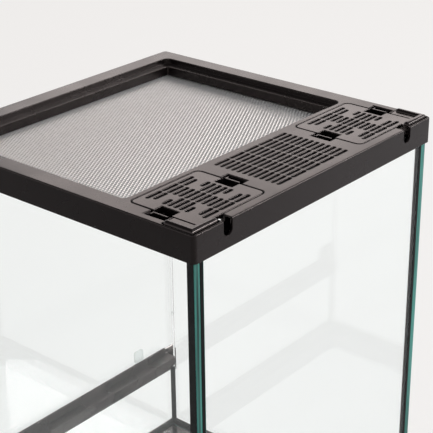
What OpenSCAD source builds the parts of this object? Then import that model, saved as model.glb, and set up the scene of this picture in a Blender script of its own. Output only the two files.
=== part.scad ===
// Glass reptile terrarium with a screened top, two lift-out vent lids and one front door.
// +Z is up, +X is right and -Y is towards the front door. The origin is on the ground, in the
// middle of the whole footprint, from the catch's knob to the back of the frame.

/* [Overall] */
// Width over the plastic frames, left to right
frame_w = 300; // [290:1:400]
// Depth over the plastic frames, front to back
frame_d = 300; // [290:1:400]
// Height from the ground to the flat top of the frame
height = 450; // [380:1:600]
// Outer corner radius of both frames
corner_r = 3.5; // [2.5:0.5:6]
// Wall of the moulded frames
wall = 2.2; // [1.8:0.1:2.6]

/* [Glass] */
// Thickness of the fixed panes
glass_t = 6; // [5:0.5:6]
// Thickness of the door pane
door_t = 5; // [4:0.5:5]
// Thickness of the silicone between two panes
joint_t = 1; // [0.8:0.1:1.4]
// Width of the silicone between a side pane and the back pane
rear_joint = 3.2; // [1:0.1:4]
// Leg of the silicone fillet in the inside corners
fillet_r = 3.5; // [2:0.5:5]
// Top edge of the low front pane
dam_top = 102; // [95:1:103]

/* [Base] */
// Top edge of the base frame
base_top = 34; // [30:1:45]
// Level of the shelf that carries the glass
shelf_z = 26; // [20:1:28]
// Reach of the shelf in from the outer face
shelf_w = 24; // [20:1:30]
// Diameter of a rubber foot
foot_d = 16; // [12:1:18]
// Distance of a foot's centre from each outer face
foot_in = 14; // [13:1:20]
// How far the feet stand below the frame
foot_show = 2; // [1.5:0.5:3]

/* [Top frame] */
// Height of the skirt
skirt_h = 22; // [20:1:30]
// How far the skirt covers the fixed panes
pane_cover = 7.5; // [6:0.5:7.5]
// Thickness of the top plate
deck_t = 1.6; // [1.4:0.1:2]
// Width of the top plate beside the screen
side_rim = 16; // [14:1:20]
// Width of the top plate in front of the screen
front_rim = 17; // [15:1:22]
// Width of the top plate behind the screen
rear_deck = 80; // [78:1:90]
// Corner radius of the screen well
well_r = 6.5; // [5:0.5:8]
// Drop from the top to the step in the well
step_drop = 5; // [4:0.5:6]
// Width of the step
step_w = 8.5; // [8:0.5:10]
// Drop from the top to the screen
screen_drop = 13; // [12:0.5:14]

/* [Screen] */
// Long pitch of the screen's diamonds, along X
diamond_x = 5.72; // [5:0.1:8]
// Short pitch of the screen's diamonds, along Y
diamond_y = 3.16; // [2.8:0.1:5]
// Width of a strand
strand_w = 0.85; // [0.6:0.05:1]
// Thickness of a strand
strand_t = 0.5; // [0.4:0.05:0.7]
// Thickness of the retainer under the screen
retainer_t = 2.5; // [2:0.5:3]

/* [Vent lids] */
// Width of a lid's main plate
lid_w = 74; // [74:1:80]
// Depth of a lid's main plate
lid_d = 65; // [65:1:68]
// Thickness of the slotted plates
lid_t = 1.5; // [1.3:0.1:1.8]
// Depth of the rim under a lid
lid_rim = 3; // [2.6:0.1:3.4]
// Gap round a lid
lid_gap = 1; // [0.6:0.1:1.2]
// Outer face of the frame to the side of the lid's opening
lid_side = 14.6; // [14.6:0.2:17]
// Outer face of the frame to the back of the lid's opening
lid_back = 8.6; // [8.6:0.2:10.6]
// Corner radius of a lid
lid_r = 4.5; // [3:0.5:6]
// Width of a vent slot
slot_w = 3; // [2:0.1:3.4]
// Length of a vent slot
slot_l = 16; // [14:0.5:16.5]
// Pitch of the slots along X
slot_px = 17.5; // [17:0.1:18]
// Pitch of the slots along Y
slot_py = 5.4; // [5:0.1:5.6]
// Radius of the grip bead round a lid's corner
bead_r = 3; // [2.5:0.1:3.2]
// Length of each arm of the grip bead
bead_l = 25.5; // [24:0.5:27]
// Width of a cable notch
notch_w = 9.4; // [6:0.2:10]
// Depth of a cable notch down the rear skirt
notch_h = 12.5; // [9:0.5:12.5]

/* [Latches] */
// Width of a latch tab along the lid's edge
tab_w = 14; // [10:1:14]
// Thickness of a latch tab
tab_t = 1.5; // [1.2:0.1:1.6]
// Travel of a latch tab
tab_travel = 2.5; // [1.5:0.5:3]

/* [Door] */
// Gap between the door and the frame or rail, taken up by the hinges
hinge_gap = 0.5; // [0.4:0.1:1]
// Diameter of a hinge pin
pin_d = 4; // [3:0.5:4]
// Running clearance of a pin in its bush, on the diameter
pin_clear = 0.2; // [0.1:0.05:0.4]
// Length of a hinge shoe along the door
shoe_l = 26; // [22:1:34]
// Height of a hinge shoe on the glass
shoe_h = 15; // [12:1:20]
// Wall of a hinge shoe
shoe_t = 1.8; // [1.5:0.1:2]

/* [Vent rail] */
// Top of the stop behind the door
rail_top = 131; // [129:1:150]
// Height of that stop above the rail's deck
stop_h = 7.5; // [5:0.5:8]
// Drop from the stop to the inner step
rail_step = 8; // [7.5:0.5:10]
// Width of the inner step
rail_step_w = 11; // [10:1:14]
// Width of a rail slot
rail_slot = 2.2; // [1.6:0.1:2.6]
// Pitch of the rail slots
rail_pitch = 6; // [5:0.5:8]

/* [Catch] */
// Distance of the catch's axis from the outer face of the frame
catch_in = 55; // [48:1:70]
// Distance of the catch's axis below the rail's deck
catch_drop = 12.5; // [12:0.5:14]
// Diameter of the catch's turn knob
knob_d = 24; // [20:1:26]
// Height of the knob in front of the tongue
knob_h = 9; // [6:0.5:12]
// Width of the catch's tongue
tongue_w = 12; // [8:1:14]
// Thickness of the tongue
tongue_t = 2.4; // [2:0.2:3]

/* [Hidden] */
$fn = 48;
clear = 0.3;
hw = frame_w / 2;
hd = frame_d / 2;
skirt_z = height - skirt_h;
deck_z = height - deck_t;
// fixed panes
pane_x = hw - wall - clear;
pane_y = hd - wall - clear;
pane_top = skirt_z + pane_cover;
inner_x = pane_x - glass_t;
inner_y = pane_y - glass_t;
side_front = -inner_y + joint_t;
floor_top = shelf_z + glass_t;
// screen well
well_x = hw - side_rim;
well_y0 = -(hd - front_rim);
well_y1 = hd - rear_deck;
screen_z = height - screen_drop;
guide_t = 2.2;
guide_x = inner_x - clear;
guide_y = inner_y - clear;
step_t = 2.2;
flange_t = 2;
clamp_w = 4;
screw_d = 3;
screw_out = 6.8;
screw_in = 23;
rib_pitch = 45;
boss_d = 6.4;
screen_t = 2 * strand_t;
retainer_z = screen_z - screen_t - retainer_t;
// vent lids: the right one, mirrored for the left
lid_x1 = hw - lid_side - lid_gap;
lid_x0 = lid_x1 - lid_w;
lid_y1 = hd - lid_back - lid_gap;
lid_y0 = lid_y1 - lid_d;
lid_cx = (lid_x0 + lid_x1) / 2;
lid_cy = (lid_y0 + lid_y1) / 2;
seat_z = height - lid_rim;
seat_t = 2;
seat_lip = 4;
lip_w = 1.5;
bead_x = hw - 1.6 - 0.5 - bead_r;
bead_y = hd - 1.6 - 1.3 - bead_r;
bead_z = height - 0.7;
bead_x0 = bead_x - bead_l + bead_r;
bead_y0 = bead_y - bead_l + bead_r;
corner_x = hw - 1.5;
corner_y = hd - 1.7;
corner_drop = 6;
corner_floor = 1.5;
notch_x = bead_x0 - bead_r - notch_w / 2 - 0.8;
// latch tabs
pocket_drop = 10;
cup_drop = 8;
cup_t = 1.5;
pull_w = 8.4;
tab_gap = 0.7;
tab_y = lid_cy - 0.5;
foot_t = 1.5;
// slots
rows = 11;
grille_px = 17.9;
grille_rows = 12;
gauze_t = 0.5;
pocket_w = 8;
// as many columns of slots as fit between the two lids' inner pockets
grille_room = lid_x0 - lid_gap - pocket_w - cup_t - 1;
grille_cols = floor(2 * (grille_room - slot_l / 2 - 1.5) / grille_px) + 1;
// front
rail_deck = rail_top - stop_h;
rail_front = -hd + 0.1;
web_t = 3;
clamp_x = [6, 16];
bumper_in = 40;
door_out = -pane_y;
door_in = door_out + door_t;
door_z0 = rail_deck + hinge_gap + web_t + 0.2;
door_z1 = skirt_z - hinge_gap - web_t - 0.2;
pivot_y = (door_out + door_in) / 2;
pivot_x = pane_x - 4;
door_edge = pivot_x + 1.5;
door_free = -pane_x + 0.5;
stop_y = door_in + 0.6;
bush_wall = 1.4;
bush_l = 8;
bush_flange = 0.8;
catch_x = hw - catch_in;
catch_z = rail_deck - catch_drop;
spindle_d = 6;
strike_t = 2.4;
strike_h = 13;
scoop_r = 13;
spindle_l = 5.5;
bush_d = pin_d + pin_clear + 2 * bush_wall;
bush_flange_d = bush_d + 1.4;

// The modules are drawn about the middle of the frames, and moved to the origin together
knob_front = rail_front - clear - tongue_t - knob_h;
middle_y = (hd + knob_front) / 2;

module placed() {
    translate([0, -middle_y, 0]) children();
}

// ---- shared outlines ----

// Rectangle from corner to corner with true round corners
module rounded(x0, x1, y0, y1, r) {
    translate([x0 + r, y0]) square([x1 - x0 - 2 * r, y1 - y0]);
    translate([x0, y0 + r]) square([x1 - x0, y1 - y0 - 2 * r]);
    for (x = [x0 + r, x1 - r], y = [y0 + r, y1 - r]) translate([x, y]) circle(r);
}

// Outline of the moulded frames, taken in from the outer face
module frame_outline(inset) {
    rounded(-hw + inset, hw - inset, -hd + inset, hd - inset, max(corner_r - inset, 0.6));
}

// Outline of the screen well, taken in from its upper edge
module well_outline(inset) {
    rounded(-well_x + inset, well_x - inset, well_y0 + inset, well_y1 - inset,
        max(well_r - inset, 1.5));
}

// Straight slot with round ends, along X
module slot_outline(x0, x1, y, w) {
    translate([x0 + w / 2, y - w / 2]) square([x1 - x0 - w, w]);
    for (x = [x0 + w / 2, x1 - w / 2]) translate([x, y]) circle(w / 2);
}

module slab(z0, z1) {
    translate([0, 0, z0]) linear_extrude(z1 - z0) children();
}

module box(x0, x1, y0, y1, z0, z1) {
    translate([x0, y0, z0]) cube([x1 - x0, y1 - y0, z1 - z0]);
}

// The same piece on the left
module on_left() {
    mirror([1, 0, 0]) children();
}

// Concave corner bead of silicone, filling the corner at the origin towards +X and +Y
module fillet_outline(r) {
    difference() {
        square(r);
        translate([r, r]) circle(r);
    }
}

// ---- base ----

module base_frame() {
    foot_z = foot_show;
    color("#262424") difference() {
        union() {
            slab(foot_z, base_top) difference() {
                frame_outline(0);
                frame_outline(wall);
            }
            slab(shelf_z - 2.5, shelf_z) difference() {
                frame_outline(wall / 2);
                frame_outline(shelf_w);
            }
            slab(foot_z + 4, shelf_z - 1) difference() {
                frame_outline(shelf_w - 2);
                frame_outline(shelf_w);
            }
            for (sx = [-1, 1], sy = [-1, 1]) translate([sx * (hw - foot_in), sy * (hd - foot_in), foot_z])
                cylinder(h = shelf_z - 1 - foot_z, d = foot_d + 4);
        }
        for (sx = [-1, 1], sy = [-1, 1]) translate([sx * (hw - foot_in), sy * (hd - foot_in), foot_z - 1])
            cylinder(h = 3, d = foot_d + clear);
    }
}

module feet() {
    color("#1b1b1b") for (sx = [-1, 1], sy = [-1, 1])
        translate([sx * (hw - foot_in), sy * (hd - foot_in), 0])
            cylinder(h = foot_show + 2, d = foot_d);
}

// ---- glass and silicone ----

module floor_glass() {
    color("#a9cfc6", 0.4) box(-inner_x + joint_t, inner_x - joint_t, side_front, inner_y - joint_t,
        shelf_z, floor_top);
}

module side_glass() {
    color("#a9cfc6", 0.4) box(inner_x, pane_x, side_front, pane_y, shelf_z, pane_top);
}

module back_glass() {
    color("#a9cfc6", 0.4) box(-inner_x + rear_joint, inner_x - rear_joint, inner_y, pane_y, shelf_z, pane_top);
}

module dam_glass() {
    color("#a9cfc6", 0.4) box(-pane_x, pane_x, -pane_y, -inner_y, shelf_z, dam_top);
}

// Seam round the edge of the floor, with its fillet on top
module floor_silicone() {
    color("#161616") {
        slab(shelf_z, floor_top) difference() {
            translate([-inner_x, -inner_y]) square([2 * inner_x, 2 * inner_y]);
            translate([-inner_x + joint_t, side_front])
                square([2 * (inner_x - joint_t), 2 * inner_y - 2 * joint_t]);
        }
        difference() {
            box(-inner_x, inner_x, -inner_y, inner_y, floor_top, floor_top + fillet_r);
            hull() {
                box(-inner_x + fillet_r, inner_x - fillet_r, -inner_y + fillet_r, inner_y - fillet_r,
                    floor_top - 1, floor_top);
                box(-inner_x + 0.6, inner_x - 0.6, -inner_y + 0.6, inner_y - 0.6,
                    floor_top + fillet_r, floor_top + fillet_r + 1);
            }
        }
    }
}

module rear_silicone() {
    color("#161616") {
        slab(shelf_z, pane_top) translate([inner_x - rear_joint, inner_y]) square([rear_joint, glass_t]);
        slab(floor_top + fillet_r, skirt_z - clear) translate([inner_x, inner_y]) rotate(180)
            fillet_outline(fillet_r);
    }
}

module front_silicone() {
    color("#161616") for (side = [0, 1]) mirror([side, 0, 0]) {
        slab(shelf_z, dam_top) translate([inner_x, -inner_y]) square([glass_t, joint_t]);
        slab(floor_top + fillet_r, dam_top - 0.5) translate([inner_x, -inner_y]) rotate(90)
            fillet_outline(fillet_r);
    }
}

// ---- vent rail on the low front pane ----

rail_foot = dam_top - 5;
rail_back = stop_y + guide_t;
rail_side = inner_x - 3.5;
stop_side = rail_side - 9;
step_side = rail_side - 5;
rail_ledge = rail_top - rail_step;

module rail_section() {
    // front wall, deck and stop in one outline, drawn in the Y-Z plane
    polygon([[rail_front, rail_foot], [-pane_y - clear, rail_foot], [-pane_y - clear, rail_deck - guide_t],
        [stop_y, rail_deck - guide_t], [stop_y, dam_top], [rail_back, dam_top],
        [rail_back, rail_ledge - guide_t], [rail_back + rail_step_w - guide_t, rail_ledge - guide_t],
        [rail_back + rail_step_w - guide_t, rail_ledge - 9], [rail_back + rail_step_w, rail_ledge - 9],
        [rail_back + rail_step_w, rail_ledge], [rail_back, rail_ledge], [rail_back, rail_top],
        [stop_y, rail_top], [stop_y, rail_deck], [rail_front, rail_deck]]);
}

module rail_bar(half) {
    translate([-half, 0, 0]) rotate([90, 0, 90]) linear_extrude(2 * half) children();
}

module vent_rail() {
    slots = floor((catch_x - knob_d / 2 - 8) / rail_pitch);
    color("#262424") difference() {
        union() {
            rail_bar(rail_side) rail_section();
            // the front wall and deck run on over the ends of the side panes
            rail_bar(hw - 0.2) polygon([[rail_front, rail_foot], [-pane_y - clear, rail_foot],
                [-pane_y - clear, rail_deck - guide_t], [side_front - clear, rail_deck - guide_t],
                [side_front - clear, rail_deck], [rail_front, rail_deck]]);
            // boss for the hinge bush
            translate([pivot_x, pivot_y, rail_deck - bush_l - 1])
                cylinder(h = bush_l, d = bush_d + 2.1);
            // boss behind the catch
            translate([-catch_x, rail_front + 1, catch_z]) rotate([-90, 0, 0])
                cylinder(h = spindle_l - 1.6, d = spindle_d + 5);
            // end caps outside the low pane
            for (side = [0, 1]) mirror([side, 0, 0])
                box(pane_x + clear, hw - 0.2, rail_front, side_front - clear, rail_foot, rail_deck);
        }
        // the stop and the step end before the side panes
        for (side = [0, 1]) mirror([side, 0, 0]) {
            box(stop_side, rail_side + 1, stop_y, rail_back + rail_step_w + 1, rail_ledge, rail_top + 1);
            box(step_side, rail_side + 1, stop_y, rail_back + rail_step_w + 1, dam_top - 1, rail_ledge + 1);
        }
        // no stop where the lower hinge shoe swings
        box(door_edge - shoe_l - 1, rail_side + 1, stop_y - 1, rail_back + 1, rail_deck, rail_top + 1);
        // bore for the hinge bush
        translate([pivot_x, pivot_y, rail_deck - bush_l - 2])
            cylinder(h = bush_l + 3, d = bush_d + 0.1);
        translate([pivot_x, pivot_y, rail_deck - bush_flange])
            cylinder(h = 2, d = bush_flange_d + 0.2);
        // bore for the catch's spindle
        translate([-catch_x, rail_front - 1, catch_z]) rotate([-90, 0, 0])
            cylinder(h = 8, d = spindle_d + clear);
        // finger scoop under the free edge of the door
        translate([-catch_x - knob_d / 2 - scoop_r - 6, rail_front - 1, rail_deck + 2]) rotate([-90, 0, 0])
            cylinder(h = door_in - rail_front, r = scoop_r);
        // upright air slots in front and back wall
        for (i = [-slots : slots + 4], w = [[rail_front, -pane_y], [stop_y - 0.5, rail_back]])
            box(i * rail_pitch - rail_slot / 2, i * rail_pitch + rail_slot / 2, w[0] - 1, w[1] + 0.6,
                dam_top + 4, rail_ledge - guide_t - 2);
    }
}

// ---- door ----

module door_glass() {
    color("#a9cfc6", 0.4) box(door_free, door_edge, door_out, door_in, door_z0, door_z1);
}

// Shoe for the lower corner; the upper one is the same piece turned over
module hinge_shoe() {
    x0 = door_edge - shoe_l;
    inner_end = inner_x - 1;
    color("#262424") difference() {
        union() {
            box(x0, door_edge, door_out - shoe_t, door_in + 0.1, -web_t, shoe_h);
            box(x0, inner_end, door_in, door_in + shoe_t, -web_t, shoe_h);
        }
        // slot for the glass
        box(x0 - 1, door_edge + 1, door_out - 0.1, door_in + 0.1, 0, shoe_h + 1);
        // hinge pin with its head
        translate([pivot_x, pivot_y, -web_t - 1]) cylinder(h = web_t + 2, d = pin_d);
        translate([pivot_x, pivot_y, -1.2]) cylinder(h = 2, d = pin_d + 2 + 0.2);
        // clamp screws in the inner cheek
        for (x = clamp_x) translate([x0 + x, door_in, shoe_h / 2]) rotate([-90, 0, 0])
            cylinder(h = shoe_t + 1, d = screw_d);
    }
}

module hinge_pin() {
    translate([pivot_x, pivot_y, -web_t - hinge_gap - bush_l])
        cylinder(h = web_t + hinge_gap + bush_l, d = pin_d);
    translate([pivot_x, pivot_y, -1.1]) cylinder(h = 1, d = pin_d + 2);
}

module hinge_screw(x) {
    translate([x, door_in + 0.1, shoe_h / 2]) rotate([-90, 0, 0]) difference() {
        cylinder(h = shoe_t + 0.2, d = screw_d);
        translate([0, 0, 1]) cylinder(h = 2, d = 1.6, $fn = 6);
    }
}

module at_lower_hinge() {
    translate([0, 0, door_z0 - 0.2]) children();
}

module at_upper_hinge() {
    translate([0, 0, door_z1 + 0.2]) mirror([0, 0, 1]) children();
}

module lower_hinge_shoe() {
    at_lower_hinge() hinge_shoe();
}

module upper_hinge_shoe() {
    at_upper_hinge() hinge_shoe();
}

module hinge_pins() {
    color("#b9bcbe") {
        at_lower_hinge() hinge_pin();
        at_upper_hinge() hinge_pin();
    }
}

module hinge_screws() {
    x0 = door_edge - shoe_l;
    color("#b9bcbe") for (x = clamp_x) {
        at_lower_hinge() hinge_screw(x0 + x);
        at_upper_hinge() hinge_screw(x0 + x);
    }
}

// Flanged nylon bush, flange on top
module bush() {
    difference() {
        union() {
            translate([0, 0, -bush_l]) cylinder(h = bush_l, d = bush_d);
            translate([0, 0, -bush_flange]) cylinder(h = bush_flange, d = bush_flange_d);
        }
        translate([0, 0, -bush_l - 1]) cylinder(h = bush_l + 2, d = pin_d + pin_clear);
    }
}

module hinge_bushes() {
    color("#d8d6cf") {
        translate([pivot_x, pivot_y, rail_deck]) bush();
        translate([pivot_x, pivot_y, skirt_z]) mirror([0, 0, 1]) bush();
    }
}

// A clear pad stuck to the door
module door_strike() {
    color("#e8eceb", 0.6) translate([-catch_x, door_out, door_z0 + 1]) rotate([90, 0, 0])
        linear_extrude(strike_t) rounded(-tongue_w / 2, tongue_w / 2, 0, strike_h, 2);
}

module door_bumpers() {
    color("#e8eceb", 0.6) for (z = [door_z0 + bumper_in, door_z1 - bumper_in])
        translate([-inner_x - glass_t / 2, side_front, z]) rotate([90, 0, 0])
            cylinder(h = side_front - door_in - clear, d = 5);
}

// ---- turn catch ----

// Drawn unlocked: a quarter turn brings the tongue up in front of the door's strike
module catch_knob() {
    tongue_y = rail_front - clear;
    reach = door_z0 + strike_h - 1 - catch_z;
    color("#262424") difference() {
        translate([-catch_x, tongue_y, catch_z]) rotate([90, 0, 0]) {
            linear_extrude(tongue_t) {
                circle(d = knob_d - 4);
                rounded(0, reach, -tongue_w / 2, tongue_w / 2, 2.5);
            }
            translate([0, 0, tongue_t - 0.5]) cylinder(h = 2.5, d = knob_d);
            translate([0, 0, tongue_t + 1]) linear_extrude(knob_h - 1)
                rounded(-knob_d / 2 + 1, knob_d / 2 - 1, -3, 3, 2.8);
            translate([0, 0, -spindle_l]) cylinder(h = spindle_l + 1, d = spindle_d);
        }
        translate([-catch_x, tongue_y + spindle_l + 0.5, catch_z]) rotate([90, 0, 0])
            cylinder(h = 6.5, d = 2.6);
    }
}

// Retaining screw and washer behind the rail
module catch_screw() {
    end_y = rail_front - clear + spindle_l;
    color("#b9bcbe") translate([-catch_x, end_y, catch_z]) rotate([-90, 0, 0]) difference() {
        union() {
            translate([0, 0, -5.8]) cylinder(h = 6, d = 2.4);
            cylinder(h = 0.8, d = 10);
            cylinder(h = 2, d = 5.4);
        }
        translate([0, 0, 1.2]) cylinder(h = 1.5, d = 2.2, $fn = 6);
    }
}

// ---- top frame ----

// Main plate of the right vent lid, grown by a margin
module lid_outline(grow) {
    rounded(lid_x0 - grow, lid_x1 + grow, lid_y0 - grow, lid_y1 + grow, lid_r + grow);
}

// Trough round the grip at the lid's outer rear corner
module trough_outline(grow) {
    rounded(bead_x0 - bead_r - 0.4 - grow, corner_x + grow, bead_y0 - bead_r - 0.4 - grow,
        corner_y + grow, 1.8);
}

// Finger pockets outside the two latch tabs
pocket_l = tab_w + 6;

module pocket_outlines(grow) {
    translate([lid_x1 + lid_gap - 1, tab_y - pocket_l / 2 - grow])
        square([pocket_w + 1 + grow, pocket_l + 2 * grow]);
    translate([lid_x0 - lid_gap - pocket_w - grow, tab_y - pocket_l / 2 - grow])
        square([pocket_w + 1 + grow, pocket_l + 2 * grow]);
}

// Way in for a cable: down the rear skirt with a round bottom, and in under the lid
module cable_way(y0, y1) {
    translate([notch_x, y1, 0]) rotate([90, 0, 0]) linear_extrude(y1 - y0) {
        translate([0, height - notch_h + notch_w / 2]) circle(notch_w / 2);
        translate([-notch_w / 2, height - notch_h + notch_w / 2]) square([notch_w, notch_h]);
    }
}

// Everything that the lid's seat takes out of the frame
module seat_space() {
    slab(seat_z - seat_t, height + 1) lid_outline(lid_gap);
    slab(seat_z - seat_t, deck_z) lid_outline(lid_gap + seat_wall);
    slab(height - corner_drop, height + 1) trough_outline(0);
    slab(height - corner_drop - corner_floor, deck_z) intersection() {
        trough_outline(seat_wall);
        square([hw - wall, hd - wall]);
    }
    slab(height - pocket_drop, height + 1) pocket_outlines(0);
    slab(height - pocket_drop - cup_t, deck_z) pocket_outlines(cup_t);
    cable_way(lid_y1 - seat_lip, hd + 1);
}

seat_wall = 1.6;
grille_back = 11.3;
grille_py = 5.43;
grille_x = (grille_cols - 1) / 2 * grille_px + slot_l / 2 + 1.5;
screw_y = [well_y0 + screw_in, (well_y0 + well_y1) / 2, well_y1 - screw_in];

module screw_places() {
    for (sx = [-1, 1], y = screw_y) translate([sx * (well_x - step_w + screw_out), y, 0]) children();
    for (y = [well_y0 + step_w - screw_out, well_y1 - step_w + screw_out]) translate([0, y, 0]) children();
}

module top_frame() {
    color("#2b2827") difference() {
        union() {
            slab(skirt_z, height) difference() {
                frame_outline(0);
                frame_outline(wall);
            }
            slab(deck_z, height) difference() {
                frame_outline(wall / 2);
                well_outline(0);
            }
            // stepped wall of the screen well
            slab(height - step_drop - step_t, height - deck_t / 2) difference() {
                well_outline(-2);
                well_outline(0);
            }
            slab(height - step_drop - step_t, height - step_drop) difference() {
                well_outline(-2);
                well_outline(step_w);
            }
            slab(screen_z, height - step_drop - step_t / 2) difference() {
                well_outline(step_w - 2);
                well_outline(step_w);
            }
            slab(screen_z, screen_z + flange_t) difference() {
                well_outline(0);
                well_outline(step_w);
            }
            screw_places() translate([0, 0, screen_z]) cylinder(h = screen_drop - step_drop - 1, d = boss_d);
            // guide behind the panes, and the ribs that stop them
            slab(skirt_z, height - deck_t / 2) difference() {
                translate([-guide_x, -guide_y]) square([2 * guide_x, 2 * guide_y]);
                translate([-guide_x + guide_t, -guide_y + guide_t])
                    square([2 * (guide_x - guide_t), 2 * (guide_y - guide_t)]);
            }
            for (i = [-2 : 2]) {
                for (side = [0, 1]) mirror([side, 0, 0])
                    box(guide_x - 1, hw - wall + 1, i * rib_pitch - 1, i * rib_pitch + 1, pane_top,
                        deck_z + 0.5);
                box(i * rib_pitch - 1, i * rib_pitch + 1, guide_y - 1, hd - wall + 1, pane_top, deck_z + 0.5);
            }
            // lip behind the top edge of the door
            box(-guide_x, door_edge - shoe_l - 1, -guide_y, -guide_y + guide_t, skirt_z - stop_h,
                skirt_z + 1);
            // boss for the upper hinge bush
            translate([pivot_x, pivot_y, skirt_z]) cylinder(h = skirt_h - deck_t / 2, d = bush_d + 2.1);
        }
        screw_places() translate([0, 0, screen_z - 1]) cylinder(h = screen_drop - step_drop - 1, d = screw_d);
        // the last row of slots opens over the guide
        box(-grille_x - 1, grille_x + 1, guide_y - guide_t - 1, guide_y, deck_z - 5, deck_z);
        translate([pivot_x, pivot_y, skirt_z - 1]) cylinder(h = bush_l + 2, d = bush_d + 0.1);
        translate([pivot_x, pivot_y, skirt_z - 1]) cylinder(h = bush_flange + 1, d = bush_flange_d + 0.2);
        seat_space();
        on_left() seat_space();
        slab(deck_z - 1, height + 1) for (row = [0 : grille_rows - 1], col = [0 : grille_cols - 1]) {
            x = (col - (grille_cols - 1) / 2) * grille_px;
            slot_outline(x - slot_l / 2 - 0.2, x + slot_l / 2 + 0.2,
                hd - grille_back - row * grille_py, slot_w);
        }
    }
}

// Moulded seat for the right lid, bonded under the top plate
module lid_seat() {
    difference() {
        union() {
            slab(seat_z - seat_t, deck_z) lid_outline(lid_gap + seat_wall);
            slab(height - corner_drop - corner_floor, deck_z) intersection() {
                trough_outline(seat_wall);
                square([hw - wall, hd - wall]);
            }
            slab(height - pocket_drop - cup_t, deck_z) pocket_outlines(cup_t);
        }
        slab(seat_z, height) lid_outline(lid_gap);
        slab(height - skirt_h, height) rounded(lid_x0 + seat_lip, lid_x1 - seat_lip, lid_y0 + seat_lip,
            lid_y1 - seat_lip, lid_r);
        slab(height - corner_drop, height) trough_outline(0);
        slab(height - pocket_drop, height) pocket_outlines(0);
        // room for the lid's own cups
        slab(height - skirt_h, height) for (x = [lid_x0 - lid_gap, lid_x1 + lid_gap - seat_lip - 1])
            translate([x, tab_y - pocket_l / 2]) square([seat_lip + 1, pocket_l]);
        cable_way(lid_y1 - seat_lip - 1, hd + 1);
    }
}

module right_lid_seat() {
    color("#262424") lid_seat();
}

module left_lid_seat() {
    color("#262424") on_left() lid_seat();
}

// ---- screen ----

screen_x = well_x - step_w + clamp_w;
screen_y0 = well_y0 + step_w - clamp_w;
screen_y1 = well_y1 - step_w + clamp_w;
strand_run = diamond_x / diamond_y;
strand_a = atan(diamond_y / diamond_x);

// One family of parallel strands, rising to the right
module strands() {
    first = ceil((-screen_x - screen_y1 * strand_run) / diamond_x) + 1;
    last = floor((screen_x - screen_y0 * strand_run) / diamond_x) - 1;
    for (i = [first : last]) {
        x0 = max(-screen_x, i * diamond_x + screen_y0 * strand_run);
        x1 = min(screen_x, i * diamond_x + screen_y1 * strand_run);
        if (x1 - x0 > diamond_x)
            translate([x0, (x0 - i * diamond_x) / strand_run, 0]) rotate(strand_a)
                translate([0, -strand_w / 2, 0]) cube([(x1 - x0) / cos(strand_a), strand_w, strand_t]);
    }
}

module screen_upper_strands() {
    color("#c9cac8") translate([0, 0, screen_z - strand_t]) strands();
}

module screen_lower_strands() {
    color("#c9cac8") translate([0, 0, screen_z - screen_t]) mirror([1, 0, 0]) strands();
}

module screen_retainer() {
    color("#262424") difference() {
        union() {
            slab(retainer_z, retainer_z + retainer_t) difference() {
                well_outline(-1.8);
                well_outline(step_w);
            }
            slab(retainer_z + retainer_t / 2, screen_z) difference() {
                well_outline(0);
                translate([-screen_x - clear, screen_y0 - clear])
                    square([2 * (screen_x + clear), screen_y1 - screen_y0 + 2 * clear]);
            }
        }
        screw_places() translate([0, 0, retainer_z - 1]) cylinder(h = retainer_t + screen_t + 2, d = screw_d);
    }
}

module retainer_screws() {
    color("#b9bcbe") screw_places() {
        translate([0, 0, retainer_z - 1.8]) difference() {
            cylinder(h = 1.8, d = 5.6);
            translate([0, 0, -1]) cylinder(h = 2, d = 2.4, $fn = 6);
        }
        translate([0, 0, retainer_z - 0.5]) cylinder(h = retainer_t + screen_t + 5, d = screw_d - 0.2);
    }
}

module grille_gauze() {
    color("#141414") box(-grille_x, grille_x, hd - grille_back - (grille_rows - 1) * grille_py - slot_w,
        guide_y - clear, deck_z - gauze_t, deck_z);
}

// ---- vent lids ----

// Ends of a slot in a row: full, trimmed at its outer end, trimmed at its inner end, or none
function row_kind(row) = (row == 1 || row == rows - 2) ? 1 : (row == 2 || row == rows - 3) ? 3
    : (row == 3 || row == rows - 4) ? 2 : 0;

module lid_slots() {
    for (row = [0 : rows - 1]) {
        kind = row_kind(row);
        y = lid_cy + (row - (rows - 1) / 2) * slot_py;
        slot_outline(lid_cx - slot_l / 2, lid_cx + slot_l / 2, y, slot_w);
        if (kind != 3) for (side = [-1, 1]) {
            outer = slot_px + slot_l / 2 - (kind == 1 ? 2.5 : 0);
            inner = slot_px - slot_l / 2 + (kind == 2 ? 6.5 : 0);
            slot_outline(lid_cx + (side > 0 ? inner : -outer), lid_cx + (side > 0 ? outer : -inner),
                y, slot_w);
        }
    }
}

// One arm of the grip, along +X from its round end to the mitre at the origin
module bead_arm(turn) {
    arm = bead_l - bead_r;
    difference() {
        translate([-arm, 0, 0]) rotate([0, 90, 0]) cylinder(h = arm + bead_r, r = bead_r);
        rotate(turn) translate([0, -3 * bead_r, -2 * bead_r]) cube([4 * bead_r, 6 * bead_r, 4 * bead_r]);
    }
    translate([-arm, 0, 0]) sphere(bead_r);
}

// Finger cup in the lid beside a latch tab, open towards the tab on its +X side
module cup_walls() {
    box(-pull_w - cup_t, 0, -tab_w / 2 - 3, tab_w / 2 + 3, height - cup_drop, height - lid_t / 2);
}

module cup_space() {
    box(-pull_w, 2, -tab_w / 2 - 1.5, tab_w / 2 + 1.5, height - cup_drop + cup_t, height + 1);
    // the edge of the cup's floor stands back to let the tab in
    box(lid_gap + tab_gap - tab_travel - clear, 2, -tab_w / 2 - 1.5, tab_w / 2 + 1.5,
        height - cup_drop - 1, height + 1);
}

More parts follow.
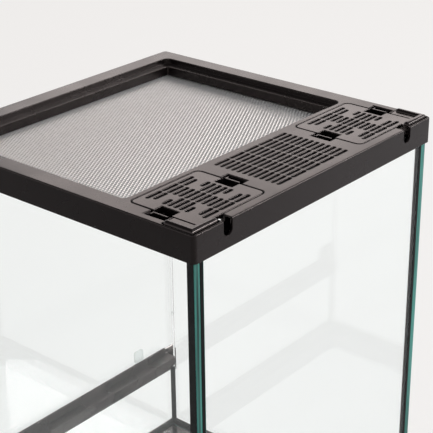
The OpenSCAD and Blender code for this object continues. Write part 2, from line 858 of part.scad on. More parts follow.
// Guide for the foot of the latch tab on the floor of the cup
module cup_guide() {
    for (side = [0, 1]) mirror([0, side, 0]) {
        box(-pull_w + 1, -1.8, 4.8, 6.2, height - cup_drop + cup_t / 2, height - cup_drop + cup_t + 2.7);
        box(-pull_w + 1, -1.8, 3.9, 6.2, height - cup_drop + cup_t + foot_t + clear,
            height - cup_drop + cup_t + 2.7);
    }
}

// The cups sit on both side edges of the main plate
module at_outer_edge() {
    translate([lid_x1, tab_y, 0]) children();
}

module at_inner_edge() {
    translate([lid_x0, tab_y, 0]) mirror([1, 0, 0]) children();
}

module vent_lid() {
    difference() {
        union() {
            slab(height - lid_t, height) lid_outline(0);
            slab(seat_z, height - lid_t / 2) difference() {
                lid_outline(0);
                lid_outline(-lip_w);
            }
            // corner plate that carries the grip
            slab(height - lid_t, height) translate([lid_x1 - lid_r - 1, bead_y0 - bead_r + 0.4])
                square([bead_x - lid_x1 + lid_r + 1, bead_y - bead_y0 + bead_r - 0.4]);
            slab(height - lid_t, height) translate([bead_x0 - bead_r + 0.4, lid_y1 - lid_r - 1])
                square([bead_x - bead_x0 + bead_r - 0.4, bead_y - lid_y1 + lid_r + 1]);
            translate([bead_x, bead_y, bead_z]) {
                bead_arm(-45);
                rotate(90) mirror([0, 1, 0]) bead_arm(-45);
            }
            at_outer_edge() cup_walls();
            at_inner_edge() cup_walls();
        }
        at_outer_edge() cup_space();
        at_inner_edge() cup_space();
        // slit between the main plate and the grip's side arm
        box(lid_x1, lid_x1 + 1.4, bead_y0 - bead_r - 1, lid_y1 - 2, height - lid_t - 1, height + 1);
        slab(height - lid_t - 1, height + 1) lid_slots();
    }
    at_outer_edge() cup_guide();
    at_inner_edge() cup_guide();
}

module right_lid() {
    color("#2b2827") vent_lid();
}

module left_lid() {
    color("#2b2827") on_left() vent_lid();
}

module lid_gauze() {
    color("#141414") box(lid_x0 + pull_w + cup_t + clear, lid_x1 - pull_w - cup_t - clear,
        lid_y0 + lip_w + clear, lid_y1 - lip_w - clear, height - lid_t - gauze_t, height - lid_t);
}

module right_lid_gauze() {
    lid_gauze();
}

module left_lid_gauze() {
    on_left() lid_gauze();
}

// ---- latch tabs ----

// Upright tab with a short return at its front end and a flat foot in the cup
module latch() {
    tab_x = lid_gap + tab_gap;
    foot_z = height - cup_drop + cup_t;
    color("#2b2827") {
        box(tab_x, tab_x + tab_t, -tab_w / 2, tab_w / 2, foot_z - cup_t - 1, height - clear);
        box(tab_x, tab_x + 4, -tab_w / 2, -tab_w / 2 + 1.2, foot_z - cup_t - 1, height - clear);
        box(-pull_w + tab_travel + clear, tab_x + 0.1, -4.5, 4.5, foot_z, foot_z + foot_t);
    }
}

module right_outer_latch() {
    at_outer_edge() latch();
}

module right_inner_latch() {
    at_inner_edge() latch();
}

module left_outer_latch() {
    on_left() right_outer_latch();
}

module left_inner_latch() {
    on_left() right_inner_latch();
}

placed() base_frame();
placed() feet();
placed() floor_glass();
placed() on_left() side_glass();  // left_glass
placed() side_glass();  // right_glass
placed() back_glass();
placed() dam_glass();
placed() floor_silicone();
placed() on_left() rear_silicone();  // left_rear_silicone
placed() rear_silicone();  // right_rear_silicone
placed() front_silicone();
placed() vent_rail();
placed() door_glass();
placed() upper_hinge_shoe();
placed() lower_hinge_shoe();
placed() hinge_pins();
placed() hinge_screws();
placed() hinge_bushes();
placed() door_strike();
placed() door_bumpers();
placed() catch_knob();
placed() catch_screw();
placed() top_frame();
placed() left_lid_seat();
placed() right_lid_seat();
placed() screen_upper_strands();
placed() screen_lower_strands();
placed() screen_retainer();
placed() retainer_screws();
placed() grille_gauze();
placed() left_lid();
placed() right_lid();
placed() left_lid_gauze();
placed() right_lid_gauze();
placed() left_outer_latch();
placed() left_inner_latch();
placed() right_inner_latch();
placed() right_outer_latch();
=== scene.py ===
import math

import bmesh
import bpy
from mathutils import Matrix, Vector
from mathutils.kdtree import KDTree


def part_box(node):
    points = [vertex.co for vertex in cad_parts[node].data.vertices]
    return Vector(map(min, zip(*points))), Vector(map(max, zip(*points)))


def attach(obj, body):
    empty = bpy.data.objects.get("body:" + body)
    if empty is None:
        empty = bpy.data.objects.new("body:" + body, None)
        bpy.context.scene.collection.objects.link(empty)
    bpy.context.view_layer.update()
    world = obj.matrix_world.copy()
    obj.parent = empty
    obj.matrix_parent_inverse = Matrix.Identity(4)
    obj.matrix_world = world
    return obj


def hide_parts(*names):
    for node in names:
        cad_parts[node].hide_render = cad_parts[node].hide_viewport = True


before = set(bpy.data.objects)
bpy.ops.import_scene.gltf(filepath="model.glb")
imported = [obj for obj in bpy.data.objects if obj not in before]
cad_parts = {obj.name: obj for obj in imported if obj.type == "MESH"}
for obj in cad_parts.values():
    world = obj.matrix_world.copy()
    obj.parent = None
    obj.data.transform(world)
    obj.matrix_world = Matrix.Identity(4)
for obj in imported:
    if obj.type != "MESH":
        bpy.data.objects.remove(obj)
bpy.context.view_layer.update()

# ---- Camera, light and floor ------------------------------------------------------------------
# The camera looks down on the rear right corner of the top frame, through a long lens. A wide
# window of light stands beyond the left side, with a smaller one nearer the back. The floor is
# white paper, in a pale room with a dim ceiling.


def srgb(code):
    """Linear colour of an sRGB hex code, with alpha 1."""
    parts = [int(code[i : i + 2], 16) / 255 for i in (1, 3, 5)]
    linear = [c / 12.92 if c <= 0.04045 else ((c + 0.055) / 1.055) ** 2.4 for c in parts]
    return (*linear, 1.0)


def add(tree, kind, inputs=None, **settings):
    """A node of a kind, with its settings, and each input set to a value or linked to an output."""
    made = tree.nodes.new(kind)
    for key, value in settings.items():
        setattr(made, key, value)
    for key, value in (inputs or {}).items():
        if isinstance(value, bpy.types.NodeSocket):
            tree.links.new(value, made.inputs[key])
        else:
            made.inputs[key].default_value = value
    return made


AIM = Vector((0, 0, 0.4))  # 50 mm below the middle of the top


def lamp(name, towards, distance, size, watts, colour):
    """A soft rectangular lamp that faces the aim, from a direction and a distance."""
    light = bpy.data.lights.new(name, "AREA")
    light.shape = "RECTANGLE"
    light.size, light.size_y = size
    light.energy = watts
    light.color = srgb(colour)[:3]
    holder = bpy.data.objects.new(name, light)
    bpy.context.scene.collection.objects.link(holder)
    way = Vector(towards).normalized()
    holder.location = AIM + way * distance
    holder.rotation_mode = "QUATERNION"
    holder.rotation_quaternion = way.to_track_quat("Z", "Y")


LENS_MM, SENSOR_MM = 106.07, 36
NEAREST, FARTHEST = 0.05, 40
STAND = Vector((0.726990, 0.670471, 0.816551))
RIGHT = Vector((-0.6467421, 0.7626276, -0.0111292))
UP = Vector((-0.3225464, -0.2602528, 0.9100727))
BACK = Vector((0.6911501, 0.5921720, 0.4142992))

camera = bpy.data.objects.new("camera", bpy.data.cameras.new("camera"))
bpy.context.scene.collection.objects.link(camera)
camera.data.lens = LENS_MM
camera.data.sensor_width = SENSOR_MM
camera.data.clip_start, camera.data.clip_end = NEAREST, FARTHEST
turned = Matrix((RIGHT, UP, BACK)).transposed().to_4x4()
camera.matrix_world = Matrix.Translation(STAND) @ turned
bpy.context.scene.camera = camera

lamp("window", towards=(-0.775, -0.46, 0.42), distance=2.6, size=(2.1, 1.0),
    watts=9.3, colour="#fff0ea")
lamp("side_window", towards=(-0.69, 0.585, 0.45), distance=2.6, size=(0.9, 0.4),
    watts=21.5, colour="#ffffff")
lamp("ceiling_light", towards=(-0.35, 0.34, 0.87), distance=2.2, size=(1.4, 1.4),
    watts=6, colour="#f4f6ff")

bpy.context.scene.view_settings.view_transform = "Standard"


def looked_at(tree):
    """The light path, and a switch for rays from the camera, straight or through glass."""
    path = add(tree, "ShaderNodeLightPath")
    rays = {0: path.outputs["Is Camera Ray"], 1: path.outputs["Is Transmission Ray"]}
    return path, add(tree, "ShaderNodeMath", rays, operation="MAXIMUM")


ROOM_GLOW = 0.2  # what lights the piece beside the lamps
WALL_TONE, CEILING_TONE = 1.0, 0.12  # what is seen or mirrored
WALL_TOP, CEILING_START = 0.35, 0.65  # upward part of the direction

world = bpy.data.worlds.new("studio")
bpy.context.scene.world = world
world.use_nodes = True
sky = world.node_tree
sky.nodes.clear()
path, direct = looked_at(sky)
seen = add(sky, "ShaderNodeMath",
    {0: direct.outputs[0], 1: path.outputs["Is Glossy Ray"]}, operation="MAXIMUM")
room = add(sky, "ShaderNodeBackground", {"Color": srgb("#f4f5f6"), "Strength": ROOM_GLOW})
place = add(sky, "ShaderNodeTexCoord").outputs["Generated"]
height = add(sky, "ShaderNodeSeparateXYZ", {0: place})
ceiling = add(sky, "ShaderNodeMapRange",
    {"Value": height.outputs["Z"], "From Min": WALL_TOP, "From Max": CEILING_START,
    "To Min": WALL_TONE, "To Max": CEILING_TONE})
shown = add(sky, "ShaderNodeBackground", {"Color": srgb("#f4f4f5"), "Strength": ceiling.outputs[0]})
both = add(sky, "ShaderNodeMixShader",
    {0: seen.outputs[0], 1: room.outputs[0], 2: shown.outputs[0]})
add(sky, "ShaderNodeOutputWorld", {"Surface": both.outputs[0]})


def new_material(name):
    """An empty node material and its tree."""
    made = bpy.data.materials.new(name)
    made.use_nodes = True
    made.node_tree.nodes.clear()
    return made, made.node_tree


GLOW_SHARE = 0.75  # of the paper's tone; the rest is lit, and takes shadows
OPEN_GLOW, PANE_GLOW = 1.13, 1.27  # seen straight, and through the panes
FLOOR_REACH = 12

white_paper, tree = new_material("white_paper_sweep")
paper = add(tree, "ShaderNodeBsdfDiffuse", {"Color": srgb("#f3f3f4")})
path, direct = looked_at(tree)
share = add(tree, "ShaderNodeMath", {0: direct.outputs[0], 1: GLOW_SHARE}, operation="MULTIPLY")
level = add(tree, "ShaderNodeMapRange",
    {"Value": path.outputs["Is Transmission Ray"], "To Min": OPEN_GLOW, "To Max": PANE_GLOW})
glow = add(tree, "ShaderNodeEmission", {"Color": srgb("#f4f2f0"), "Strength": level.outputs[0]})
both = add(tree, "ShaderNodeMixShader",
    {0: share.outputs[0], 1: paper.outputs[0], 2: glow.outputs[0]})
add(tree, "ShaderNodeOutputMaterial", {"Surface": both.outputs[0]})
bm = bmesh.new()
bmesh.ops.create_grid(bm, x_segments=1, y_segments=1, size=FLOOR_REACH)
mesh = bpy.data.meshes.new("floor")
bm.to_mesh(mesh)
bm.free()
floor = bpy.data.objects.new("floor", mesh)
bpy.context.scene.collection.objects.link(floor)
floor.data.materials.append(white_paper)

# ---- Base frame -------------------------------------------------------------------------------
# A black moulded ring that the glass stands in. It is satin ABS from a spark-eroded mould, so it
# is close to black where it faces the room and turns grey-brown where it mirrors a window.

GRAIN_MM = 0.5  # ten times the real grain, so that it shows
CLOUD_SCALE = 22.0  # slow clouds of about 45 mm, in the tone and in the gloss
GLOSS_SPREAD = 0.04


def satin_abs(name, colour, roughness):
    """Black ABS with a fine moulded grain, which breaks up the mirrored windows."""
    made, tree = new_material(name)
    place = add(tree, "ShaderNodeTexCoord").outputs["Object"]
    grain = add(tree, "ShaderNodeTexNoise",
        {"Vector": place, "Scale": 1000 / GRAIN_MM, "Detail": 3.0, "Roughness": 0.6})
    flow = add(tree, "ShaderNodeTexNoise",
        {"Vector": place, "Scale": CLOUD_SCALE, "Detail": 4.0, "Roughness": 0.55})
    tone = add(tree, "ShaderNodeMixRGB",
        {0: flow.outputs["Fac"], 1: srgb(colour[0]), 2: srgb(colour[1])})
    gloss = add(tree, "ShaderNodeMapRange",
        {"Value": flow.outputs["Fac"], "From Min": 0.3, "From Max": 0.7,
        "To Min": roughness - GLOSS_SPREAD, "To Max": roughness + GLOSS_SPREAD})
    relief = add(tree, "ShaderNodeBump",
        {"Height": grain.outputs["Fac"], "Strength": 0.12, "Distance": 0.0001})
    skin = add(tree, "ShaderNodeBsdfPrincipled",
        {"Base Color": tone.outputs[0], "Roughness": gloss.outputs[0],
        "Normal": relief.outputs[0], "IOR": 1.5, "Specular Tint": srgb("#ffece8")})
    add(tree, "ShaderNodeOutputMaterial", {"Surface": skin.outputs[0]})
    return made


SOFT_BELOW = math.radians(50)
FLAT_WEIGHT = 80  # the wide faces set the shading of the roundings beside them


def piece(name, bm, body, slot, *materials):
    """A finished object of a mesh: soft across its rounded edges, sharp at the rest."""
    for face in bm.faces:
        face.smooth = True
    for edge in bm.edges:
        edge.smooth = len(edge.link_faces) == 2 and edge.calc_face_angle(0) < SOFT_BELOW
    mesh = bpy.data.meshes.new(name)
    bm.to_mesh(mesh)
    bm.free()
    made = bpy.data.objects.new(name, mesh)
    bpy.context.scene.collection.objects.link(made)
    for material in materials:
        made.data.materials.append(material)
    weighted = made.modifiers.new("flat_faces", "WEIGHTED_NORMAL")
    weighted.keep_sharp = True
    weighted.weight = FLAT_WEIGHT
    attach(made, body)
    return made


WELD = 0.00002  # joins the loose triangles
SHORTEST = 0.00001
FLAT = math.radians(0.6)  # between triangles of one face


def solid_of(node):
    """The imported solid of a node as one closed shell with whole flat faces."""
    bm = bmesh.new()
    bm.from_mesh(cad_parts[node].data)
    bmesh.ops.remove_doubles(bm, verts=bm.verts, dist=WELD)
    bmesh.ops.dissolve_degenerate(bm, edges=bm.edges, dist=SHORTEST)
    bmesh.ops.dissolve_limit(bm, angle_limit=FLAT, verts=bm.verts, edges=bm.edges)
    return bm


SAME_POINT = 0.0000001
ACROSS = 0.5  # cosine of the least angle between an edge and the way to its neighbour


def crowded(bm, sharp, gap):
    """The sharp edges that run beside another one of the same flat face, nearer than a gap."""
    found = set()
    for face in bm.faces:
        rims = [e for e in face.edges if e in sharp]
        # marks along the edges, closer together than the gap
        marks = []
        for edge in rims:
            start, end = (v.co for v in edge.verts)
            steps = math.ceil((end - start).length / gap) + 1
            run = (end - start).normalized()
            marks += [(start.lerp(end, i / steps), edge, run) for i in range(steps + 1)]
        near = KDTree(len(marks))
        for i, mark in enumerate(marks):
            near.insert(mark[0], i)
        near.balance()
        for point, edge, run in marks:
            for other, i, far in near.find_range(point, gap):
                beside_edge, beside_run = marks[i][1:]
                joined = beside_edge is edge or set(edge.verts) & set(beside_edge.verts)
                if joined or far < SAME_POINT:
                    continue
                across = (other - point).normalized()
                if abs(across.dot(run)) < ACROSS and abs(across.dot(beside_run)) < ACROSS:
                    found.update((edge, beside_edge))
    return found


SHARP_ABOVE = math.radians(40)
ROOM = 2.1  # radii between two edges that are both rounded


def round_edges(bm, radius, top=None, where=None):
    """Rounds the sharp edges of a shell where there is room: all, or some of those at its top."""
    sharp = {e for e in bm.edges if len(e.link_faces) == 2 and e.calc_face_angle(0) > SHARP_ABOVE}
    if top:
        sharp = {e for e in sharp
            if e.is_convex and all(abs(v.co.z - top) < SHORTEST for v in e.verts)}
    if where:
        sharp = {e for e in sharp if where(e)}
    sharp -= crowded(bm, sharp, radius * ROOM)
    bmesh.ops.bevel(bm, geom=[e for e in bm.edges if e in sharp], offset=radius,
        offset_type="OFFSET", segments=3 if top else 2, profile=0.5, affect="EDGES",
        clamp_overlap=False, material=-1)
    # where a rounding ends against another one, its corners meet, and a tiny flap can be left
    bmesh.ops.remove_doubles(bm, verts=bm.verts, dist=SAME_POINT)
    flaps = [f for f in bm.faces if {len(e.link_faces) for e in f.edges} == {1, 3}]
    bmesh.ops.delete(bm, geom=flaps, context="FACES")


TOP_RADIUS = 0.0007


def moulded(node, body, slot, material, radius, top=None):
    """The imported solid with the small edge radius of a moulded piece, and a wider one on top."""
    bm = solid_of(node)
    if top:
        round_edges(bm, TOP_RADIUS, top)
    round_edges(bm, radius)
    made = piece(node + "_moulding", bm, body, slot, material)
    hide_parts(node)


ABS_TONES = ("#120f0f", "#181414")
black_abs = satin_abs("satin_black_abs", ABS_TONES, roughness=0.28)
moulded("base_frame", "enclosure", "black_abs", black_abs, radius=0.0006)

# ---- Feet -------------------------------------------------------------------------------------
# Four round pads of moulded rubber, pressed into cups under the corners of the base frame.
# Rubber is dull and dark, with a powdery bloom in specks of about 1 mm.

foot_rubber, tree = new_material("moulded_rubber")
place = add(tree, "ShaderNodeTexCoord").outputs["Object"]
bloom = add(tree, "ShaderNodeTexNoise", {"Vector": place, "Scale": 900.0, "Detail": 4.0})
shade = add(tree, "ShaderNodeValToRGB", {"Fac": bloom.outputs["Fac"]})
shade.color_ramp.elements[0].color = srgb("#151515")
shade.color_ramp.elements[1].color = srgb("#2b2a29")
relief = add(tree, "ShaderNodeBump",
    {"Height": bloom.outputs["Fac"], "Strength": 0.3, "Distance": 0.0001})
skin = add(tree, "ShaderNodeBsdfPrincipled",
    {"Base Color": shade.outputs[0], "Roughness": 0.75, "Normal": relief.outputs[0]})
add(tree, "ShaderNodeOutputMaterial", {"Surface": skin.outputs[0]})

moulded("feet", "enclosure", "foot_rubber", foot_rubber, radius=0.0006)

# ---- Glass ------------------------------------------------------------------------------------
# Float glass: four fixed panes and the floor, 6 mm thick, with a narrow arris. The ground edges
# are blue-green. The front edges are polished, and the top ones are drawn black, in the silicone
# material.

# polished and clear; its shadows are plain, so that light comes straight through
clear_glass, tree = new_material("float_glass")
path = add(tree, "ShaderNodeLightPath")
pane = add(tree, "ShaderNodeBsdfPrincipled",
    {"Base Color": srgb("#fcfefe"), "Roughness": 0.0, "IOR": 1.52, "Transmission Weight": 1.0})
through = add(tree, "ShaderNodeBsdfTransparent", {"Color": srgb("#eff7f5")})
either = add(tree, "ShaderNodeMixShader",
    {0: path.outputs["Is Shadow Ray"], 1: pane.outputs[0], 2: through.outputs[0]})
add(tree, "ShaderNodeOutputMaterial", {"Surface": either.outputs[0]})

# the length of the pane shows as green in its ground edge, with light and dark streaks from the
# wheel, some 2.4 mm wide and 140 mm long
WHEEL_STREAKS = (420.0, 420.0, 7.0)
ground_edge, tree = new_material("ground_glass_edge")
place = add(tree, "ShaderNodeTexCoord").outputs["Object"]
long_grain = add(tree, "ShaderNodeMapping", {"Vector": place, "Scale": WHEEL_STREAKS})
streaks = add(tree, "ShaderNodeTexNoise",
    {"Vector": long_grain.outputs[0], "Scale": 1.0, "Detail": 3.0})
shade = add(tree, "ShaderNodeValToRGB", {"Fac": streaks.outputs["Fac"]})
shade.color_ramp.elements[0].color = srgb("#0d3e39")
shade.color_ramp.elements[0].position = 0.36
shade.color_ramp.elements[1].color = srgb("#5cbfb0")
shade.color_ramp.elements[1].position = 0.64
skin = add(tree, "ShaderNodeBsdfPrincipled",
    {"Base Color": shade.outputs[0], "Roughness": 0.3, "IOR": 1.52})
add(tree, "ShaderNodeOutputMaterial", {"Surface": skin.outputs[0]})

# black and soft, drawn smooth with a finger or a tool, which leaves waves of about 8 mm
silicone, tree = new_material("tooled_silicone")
place = add(tree, "ShaderNodeTexCoord").outputs["Object"]
wave = add(tree, "ShaderNodeTexNoise", {"Vector": place, "Scale": 120.0, "Detail": 2.0})
shade = add(tree, "ShaderNodeValToRGB", {"Fac": wave.outputs["Fac"]})
shade.color_ramp.elements[0].color = srgb("#070707")
shade.color_ramp.elements[1].color = srgb("#101010")
relief = add(tree, "ShaderNodeBump",
    {"Height": wave.outputs["Fac"], "Strength": 0.35, "Distance": 0.0006})
skin = add(tree, "ShaderNodeBsdfPrincipled",
    {"Base Color": shade.outputs[0], "Roughness": 0.4, "Normal": relief.outputs[0],
    "IOR": 1.41, "Specular IOR Level": 0.25})
add(tree, "ShaderNodeOutputMaterial", {"Surface": skin.outputs[0]})

ARRIS = 0.0005
CLEAR, GREEN, BLACK_TOP = 0, 1, 2  # the order of a pane's materials


def cut_pane(node, body):
    """A pane of its node's size, with an arris all round."""
    low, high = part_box(node)
    size = high - low
    thin = min(range(3), key=lambda i: size[i])
    bm = bmesh.new()
    bmesh.ops.create_cube(bm, size=1)
    bmesh.ops.scale(bm, vec=size, verts=bm.verts)
    bmesh.ops.translate(bm, vec=(low + high) / 2, verts=bm.verts)
    bmesh.ops.bevel(bm, geom=bm.edges[:], offset=ARRIS, offset_type="OFFSET", segments=1,
        profile=0.5, affect="EDGES", clamp_overlap=True, material=-1)
    bm.normal_update()
    for face in bm.faces:
        if body == "door" or abs(face.normal[thin]) > 0.99 or face.normal.y < -0.5:
            face.material_index = CLEAR
        # the top edges, other than the floor pane's, are drawn in the black silicone material
        elif face.normal.z > 0.5 and node != "floor_glass":
            face.material_index = BLACK_TOP
        else:
            face.material_index = GREEN
    made = piece(node + "_pane", bm, body, "glass", clear_glass, ground_edge, silicone)
    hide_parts(node)


for node in ("floor_glass", "left_glass", "right_glass", "back_glass", "dam_glass"):
    cut_pane(node, "enclosure")

# ---- Silicone ---------------------------------------------------------------------------------
# Black silicone joins the panes. It fills the joint between them, and a tooled fillet runs up
# each inside corner. It is smooth and a little glossy, with slow waves from the tool.

for node in ("floor_silicone", "left_rear_silicone", "right_rear_silicone", "front_silicone"):
    seam = piece(node + "_bead", solid_of(node), "enclosure", "silicone", silicone)
    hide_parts(node)

# ---- Vent rail --------------------------------------------------------------------------------
# The moulded rail that clips over the low front pane. It has upright air slots, a stop behind
# the door, an inner step and a scoop for a fingertip.

moulded("vent_rail", "enclosure", "black_abs", black_abs, radius=0.0004)

# ---- Hinge bushes and door bumpers ------------------------------------------------------------
# Flanged nylon bushes pressed into the rail and the top frame, milky and waxy, and two small
# clear bumpers stuck to the edge of the left pane, which the door closes against.

nylon, tree = new_material("moulded_nylon")
place = add(tree, "ShaderNodeTexCoord").outputs["Object"]
cloud = add(tree, "ShaderNodeTexNoise", {"Vector": place, "Scale": 500.0, "Detail": 2.0})
shade = add(tree, "ShaderNodeValToRGB", {"Fac": cloud.outputs["Fac"]})
shade.color_ramp.elements[0].color = srgb("#d9d5c8")
shade.color_ramp.elements[1].color = srgb("#ebe8dd")
skin = add(tree, "ShaderNodeBsdfPrincipled",
    {"Base Color": shade.outputs[0], "Roughness": 0.45, "IOR": 1.53})
add(tree, "ShaderNodeOutputMaterial", {"Surface": skin.outputs[0]})
moulded("hinge_bushes", "enclosure", "nylon", nylon, radius=0.0002)

soft_plastic, tree = new_material("clear_polyurethane")
place = add(tree, "ShaderNodeTexCoord").outputs["Object"]
haze = add(tree, "ShaderNodeTexNoise", {"Vector": place, "Scale": 700.0, "Detail": 2.0})
frost = add(tree, "ShaderNodeMapRange",
    {"Value": haze.outputs["Fac"], "To Min": 0.15, "To Max": 0.3})
skin = add(tree, "ShaderNodeBsdfPrincipled",
    {"Base Color": srgb("#f4f7f6"), "Roughness": frost.outputs[0], "IOR": 1.5, "Alpha": 0.25})
add(tree, "ShaderNodeOutputMaterial", {"Surface": skin.outputs[0]})
moulded("door_bumpers", "enclosure", "clear_bumper", soft_plastic, radius=0.0002)

# ---- Door -------------------------------------------------------------------------------------
# A 5 mm pane that swings on two moulded shoes. Each shoe grips a corner of the glass between its
# cheeks, by two set screws, and carries a steel pin. The catch closes on a clear pad low down.

cut_pane("door_glass", "door")
moulded("upper_hinge_shoe", "door", "black_abs", black_abs, radius=0.0003)
moulded("lower_hinge_shoe", "door", "black_abs", black_abs, radius=0.0003)
moulded("door_strike", "door", "clear_bumper", soft_plastic, radius=0.0004)

# zinc plate, bright but not a mirror, with turning marks of under 1 mm
turned_steel, tree = new_material("zinc_plated_steel")
place = add(tree, "ShaderNodeTexCoord").outputs["Object"]
marks = add(tree, "ShaderNodeTexNoise", {"Vector": place, "Scale": 1500.0, "Detail": 3.0})
shade = add(tree, "ShaderNodeValToRGB", {"Fac": marks.outputs["Fac"]})
shade.color_ramp.elements[0].color = srgb("#b4b6b8")
shade.color_ramp.elements[1].color = srgb("#d9dadb")
frost = add(tree, "ShaderNodeMapRange",
    {"Value": marks.outputs["Fac"], "To Min": 0.22, "To Max": 0.42})
skin = add(tree, "ShaderNodeBsdfPrincipled",
    {"Base Color": shade.outputs[0], "Roughness": frost.outputs[0], "Metallic": 1.0})
add(tree, "ShaderNodeOutputMaterial", {"Surface": skin.outputs[0]})
moulded("hinge_pins", "door", "steel", turned_steel, radius=0.0003)
moulded("hinge_screws", "door", "steel", turned_steel, radius=0.0001)

# ---- Turn catch -------------------------------------------------------------------------------
# A moulded knob with a finger bar and a tongue, on a spindle that turns in the rail. A zinc-plated
# screw and its washer hold it there.

moulded("catch_knob", "catch", "black_abs", black_abs, radius=0.0006)
moulded("catch_screw", "catch", "steel", turned_steel, radius=0.0001)

# ---- Top frame --------------------------------------------------------------------------------
# One large moulding: skirt, top plate, stepped well for the screen, and a grille of slots. The
# edges are rounded, by 0.7 mm along the top and 1.2 mm round the rim, and catch a line of light.

RIM_RADIUS, RIM_STRIP = 0.0012, 0.005
ON_RIM, OFF_RIM = 0.0011, 0.0025  # reach of the rim's own edges, and of what it needs for itself

bm = solid_of("top_frame")
low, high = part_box("top_frame")
TOP = high.z
# narrow strips are cut off, so that the rounding of the rim stays out of the wide top face
inwards = ((low, (1, 0, 0)), (low, (0, 1, 0)), (high, (-1, 0, 0)), (high, (0, -1, 0)))
for corner, way in inwards:
    way = Vector(way)
    bmesh.ops.bisect_plane(bm, geom=bm.verts[:] + bm.edges[:] + bm.faces[:], dist=SHORTEST,
        plane_co=corner + way * RIM_STRIP, plane_no=way)


def beside(edge, reach):
    """Whether an edge of the top frame runs along its outer faces, within a reach."""
    return all(min((*(v.co - low).xy, *(high - v.co).xy)) < reach for v in edge.verts)


round_edges(bm, RIM_RADIUS, TOP, lambda edge: beside(edge, ON_RIM))
round_edges(bm, TOP_RADIUS, TOP, lambda edge: not beside(edge, OFF_RIM))
round_edges(bm, 0.0003)
top_frame = piece("top_frame_moulding", bm, "enclosure", "black_abs", black_abs)
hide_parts("top_frame")

# ---- Lid seats --------------------------------------------------------------------------------
# A moulded tray under each lid, bonded below the top plate, with the pockets beside the latches.
# Only its inner lip and the pockets show, and they stay dark.

moulded("left_lid_seat", "enclosure", "black_abs", black_abs, radius=0.0003)
moulded("right_lid_seat", "enclosure", "black_abs", black_abs, radius=0.0003)

# ---- Screen -----------------------------------------------------------------------------------
# Expanded steel: a sheet slit and pulled open into diamonds of 5.72 by 3.16 mm, then zinc plated,
# pale and slightly dull. The strands twist as it opens, so one set catches the light. A moulded
# ring and screws hold it from below.

screen_steel, tree = new_material("zinc_plated_expanded_steel")
place = add(tree, "ShaderNodeTexCoord").outputs["Object"]
spangle = add(tree, "ShaderNodeTexNoise", {"Vector": place, "Scale": 260.0, "Detail": 3.0})
shade = add(tree, "ShaderNodeValToRGB", {"Fac": spangle.outputs["Fac"]})
shade.color_ramp.elements[0].color = srgb("#d8d7d5")
shade.color_ramp.elements[1].color = srgb("#f2f1f0")
skin = add(tree, "ShaderNodeBsdfPrincipled",
    {"Base Color": shade.outputs[0], "Roughness": 0.3, "Metallic": 0.8})
add(tree, "ShaderNodeOutputMaterial", {"Surface": skin.outputs[0]})

LONG, SHORT = 0.00572, 0.00316  # the diamonds
STRAND, SHEET = 0.00115, 0.0003  # a strand's width, and the sheet it is cut from
LEAN = math.radians(20)
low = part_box("screen_lower_strands")[0]
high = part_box("screen_upper_strands")[1]
centre = (low + high) / 2
half = (high - low) / 2
slant = LONG / SHORT
count = math.ceil((half.x + half.y * slant) / LONG)
bm = bmesh.new()
for sign in (1, -1):
    along = Vector((LONG, sign * SHORT, 0)).normalized()
    across = Vector((-along.y, along.x, 0))
    axes = Matrix((along, across, (0, 0, 1))).transposed()
    turn = axes @ Matrix.Rotation(-LEAN, 3, "X")
    for i in range(-count, count + 1):
        # where this strand's line enters and leaves the sheet
        start = max(-half.x, i * LONG - half.y * slant)
        end = min(half.x, i * LONG + half.y * slant)
        if end - start < LONG:
            continue
        # its square ends stay inside the sheet
        start, end = start + STRAND, end - STRAND
        x = (start + end) / 2
        y = sign * (x - i * LONG) / slant
        bar = bmesh.ops.create_cube(bm, size=1)["verts"]
        bmesh.ops.scale(bm, vec=((end - start) / along.x, STRAND, SHEET), verts=bar)
        bmesh.ops.rotate(bm, matrix=turn, verts=bar)
        bmesh.ops.translate(bm, vec=centre + Vector((x, y, 0)), verts=bar)
screen = piece("expanded_screen", bm, "enclosure", "screen_steel", screen_steel)
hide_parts("screen_upper_strands", "screen_lower_strands")

moulded("screen_retainer", "enclosure", "black_abs", black_abs, radius=0.0003)
moulded("retainer_screws", "enclosure", "steel", turned_steel, radius=0.0001)

# ---- Gauze ------------------------------------------------------------------------------------
# Black woven gauze under every group of slots keeps feeder insects in. Its wires are 0.22 mm,
# 0.5 mm apart, so from above the slots look nearly black.

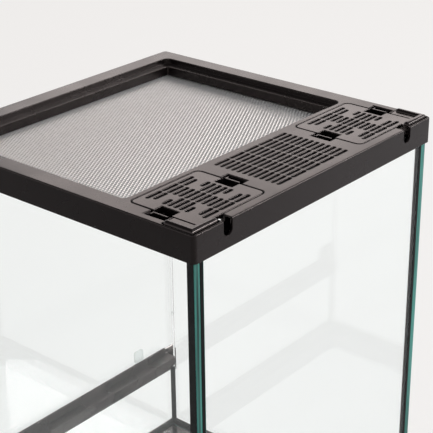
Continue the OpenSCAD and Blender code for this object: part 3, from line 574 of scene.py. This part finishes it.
gauze_black, tree = new_material("woven_black_gauze")
place = add(tree, "ShaderNodeTexCoord").outputs["Object"]
fibre = add(tree, "ShaderNodeTexNoise", {"Vector": place, "Scale": 2500.0, "Detail": 2.0})
shade = add(tree, "ShaderNodeValToRGB", {"Fac": fibre.outputs["Fac"]})
shade.color_ramp.elements[0].color = srgb("#2c2827")
shade.color_ramp.elements[1].color = srgb("#464040")
skin = add(tree, "ShaderNodeBsdfPrincipled", {"Base Color": shade.outputs[0], "Roughness": 0.6})
add(tree, "ShaderNodeOutputMaterial", {"Surface": skin.outputs[0]})

WIRE, PITCH = 0.00022, 0.0005


def woven(node, body):
    """Crossed wires over the whole of a gauze node, one family on top of the other."""
    low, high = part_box(node)
    bm = bmesh.new()
    for axis, level in ((0, high.z - WIRE / 2), (1, low.z + WIRE / 2)):
        across = 1 - axis
        count = int((high[across] - low[across] - WIRE) / PITCH) + 1
        size = Vector((WIRE, WIRE, WIRE))
        size[axis] = high[axis] - low[axis]
        for i in range(count):
            middle = Vector(((low.x + high.x) / 2, (low.y + high.y) / 2, level))
            middle[across] = low[across] + WIRE / 2 + i * PITCH
            bar = bmesh.ops.create_cube(bm, size=1)["verts"]
            bmesh.ops.scale(bm, vec=size, verts=bar)
            bmesh.ops.translate(bm, vec=middle, verts=bar)
    made = piece(node + "_weave", bm, body, "black_gauze", gauze_black)
    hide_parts(node)


woven("grille_gauze", "enclosure")

# ---- Vent lids --------------------------------------------------------------------------------
# Two slotted lids, moulded in the same ABS with a slightly finer finish, drop into their seats.
# Each has an L-shaped grip at its outer rear corner, a cup beside each latch, and its own gauze.

lid_abs = satin_abs("satin_lid_abs", ABS_TONES, roughness=0.24)
for side in ("left", "right"):
    moulded(f"{side}_lid", f"{side}_vent_lid", "lid_abs", lid_abs, radius=0.0002, top=TOP)
for side in ("left", "right"):
    woven(f"{side}_lid_gauze", f"{side}_vent_lid")

# ---- Latches ----------------------------------------------------------------------------------
# Each lid is held by two upright ABS tabs on thin arms that bend. A fingertip in the cup presses
# a tab towards the lid's middle, and lets the lid go.

for side in ("left", "right"):
    for edge_name in ("outer", "inner"):
        latch = f"{side}_{edge_name}"
        moulded(f"{latch}_latch", f"{latch}_tab", "lid_abs", lid_abs, radius=0.0003)
